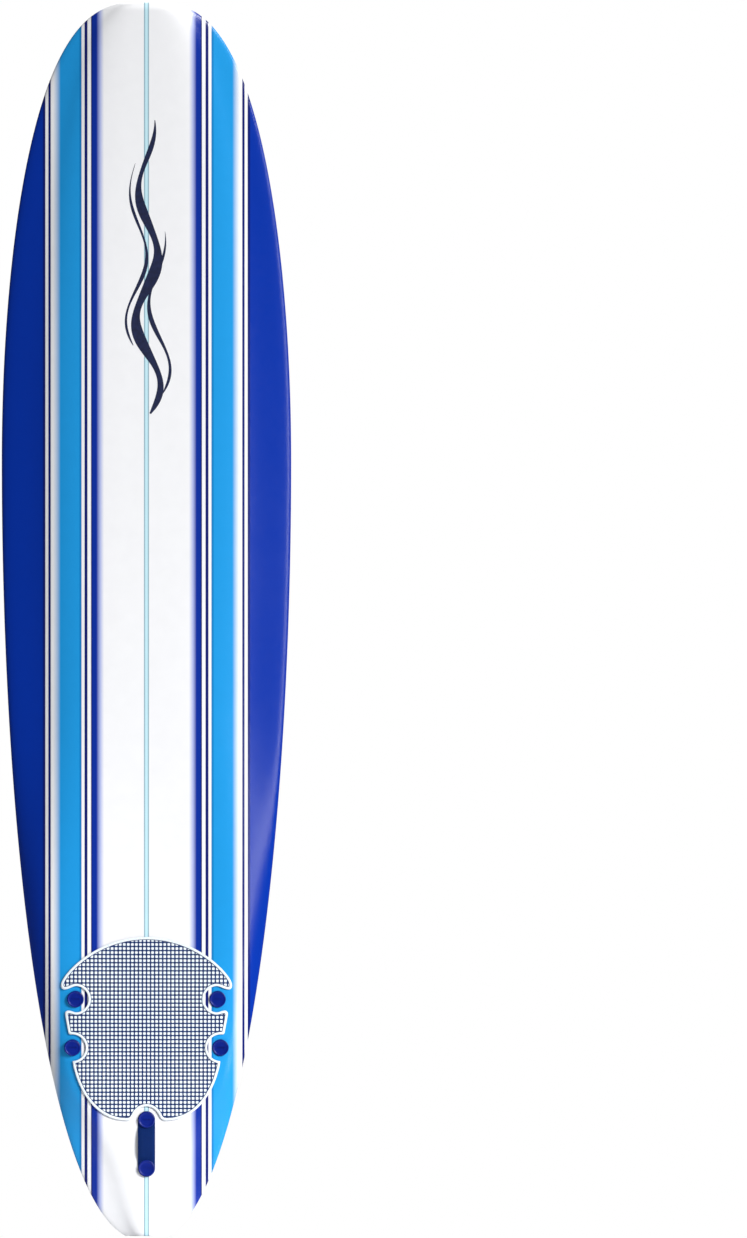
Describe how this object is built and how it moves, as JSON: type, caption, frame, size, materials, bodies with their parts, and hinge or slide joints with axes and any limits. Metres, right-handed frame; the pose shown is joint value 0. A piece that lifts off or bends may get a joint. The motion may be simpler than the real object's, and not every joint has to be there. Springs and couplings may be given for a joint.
{
  "type": "longboard surfboard",
  "caption": "Foam longboard surfboard with striped deck, grooved tail pad, leash strap and bolt-through fins, standing on its tail.",
  "frame": {"origin": "centre of the flat tail end, where the board stands", "axes": "+Z from the tail to the nose, +X across the board, -Y out of the deck, +Y out of the bottom along the fins"},
  "size_m": [0.572, 0.2315, 2.4384],
  "materials": {
    "deck_foam": "closed-cell foam skin, fine emboss, striped print",
    "slick_bottom": "smooth polyethylene sheet, satin gloss",
    "pad_foam": "white foam with dark blue grooves",
    "webbing": "woven webbing",
    "core_foam": "expanded bead foam",
    "plywood": "bare plywood",
    "fin_plastic": "moulded, satin",
    "bolt_plastic": "moulded, satin",
    "sleeve_plastic": "extruded tube",
    "insert_brass": "turned"
  },
  "bodies": {
    "board": {"deck_skin": "deck_foam", "bottom_skin": "slick_bottom", "traction_pad": "pad_foam", "core_left_outer": "core_foam", "core_left_inner": "core_foam", "core_right_inner": "core_foam", "core_right_outer": "core_foam", "stringer_left": "plywood", "stringer_center": "plywood", "stringer_right": "plywood", "left_front_sleeve": "sleeve_plastic", "left_rear_sleeve": "sleeve_plastic", "right_front_sleeve": "sleeve_plastic", "right_rear_sleeve": "sleeve_plastic", "center_front_sleeve": "sleeve_plastic", "center_rear_sleeve": "sleeve_plastic"},
    "left_fin": {"left_fin": "fin_plastic", "left_front_insert": "insert_brass", "left_rear_insert": "insert_brass"},
    "right_fin": {"right_fin": "fin_plastic", "right_front_insert": "insert_brass", "right_rear_insert": "insert_brass"},
    "center_fin": {"center_fin": "fin_plastic", "center_front_insert": "insert_brass", "center_rear_insert": "insert_brass"},
    "left_front_bolt": {"left_front_bolt": "bolt_plastic"},
    "left_rear_bolt": {"left_rear_bolt": "bolt_plastic"},
    "right_front_bolt": {"right_front_bolt": "bolt_plastic"},
    "right_rear_bolt": {"right_rear_bolt": "bolt_plastic"},
    "center_front_bolt": {"center_front_bolt": "bolt_plastic"},
    "center_rear_bolt": {"center_rear_bolt": "bolt_plastic"},
    "leash_strap": {"leash_strap": "webbing"}
  },
  "joints": [
    {"name": "left_fin_lift", "type": "slide", "parent": "board", "child": "left_fin", "axis": [0, 1, 0], "range_m": [0, 0.06]},
    {"name": "right_fin_lift", "type": "slide", "parent": "board", "child": "right_fin", "axis": [0, 1, 0], "range_m": [0, 0.06]},
    {"name": "center_fin_lift", "type": "slide", "parent": "board", "child": "center_fin", "axis": [0, 1, 0], "range_m": [0, 0.06]},
    {"name": "left_front_bolt_draw", "type": "slide", "parent": "board", "child": "left_front_bolt", "axis": [0, -1, 0], "range_m": [0, 0.072]},
    {"name": "left_rear_bolt_draw", "type": "slide", "parent": "board", "child": "left_rear_bolt", "axis": [0, -1, 0], "range_m": [0, 0.072]},
    {"name": "right_front_bolt_draw", "type": "slide", "parent": "board", "child": "right_front_bolt", "axis": [0, -1, 0], "range_m": [0, 0.072]},
    {"name": "right_rear_bolt_draw", "type": "slide", "parent": "board", "child": "right_rear_bolt", "axis": [0, -1, 0], "range_m": [0, 0.072]},
    {"name": "center_front_bolt_draw", "type": "slide", "parent": "board", "child": "center_front_bolt", "axis": [0, -1, 0], "range_m": [0, 0.072]},
    {"name": "center_rear_bolt_draw", "type": "slide", "parent": "board", "child": "center_rear_bolt", "axis": [0, -1, 0], "range_m": [0, 0.072]},
    {"name": "leash_strap_lift", "type": "slide", "parent": "board", "child": "leash_strap", "axis": [0, -1, 0], "range_m": [0, 0.03]}
  ],
  "couplings": [
    {"joint": "left_front_bolt_draw", "follows": "left_fin_lift", "ratio": 1.2},
    {"joint": "left_rear_bolt_draw", "follows": "left_fin_lift", "ratio": 1.2},
    {"joint": "right_front_bolt_draw", "follows": "right_fin_lift", "ratio": 1.2},
    {"joint": "right_rear_bolt_draw", "follows": "right_fin_lift", "ratio": 1.2},
    {"joint": "center_front_bolt_draw", "follows": "center_fin_lift", "ratio": 1.2},
    {"joint": "center_rear_bolt_draw", "follows": "center_fin_lift", "ratio": 1.2},
    {"joint": "leash_strap_lift", "follows": "center_fin_lift", "ratio": 0.5}
  ]
}
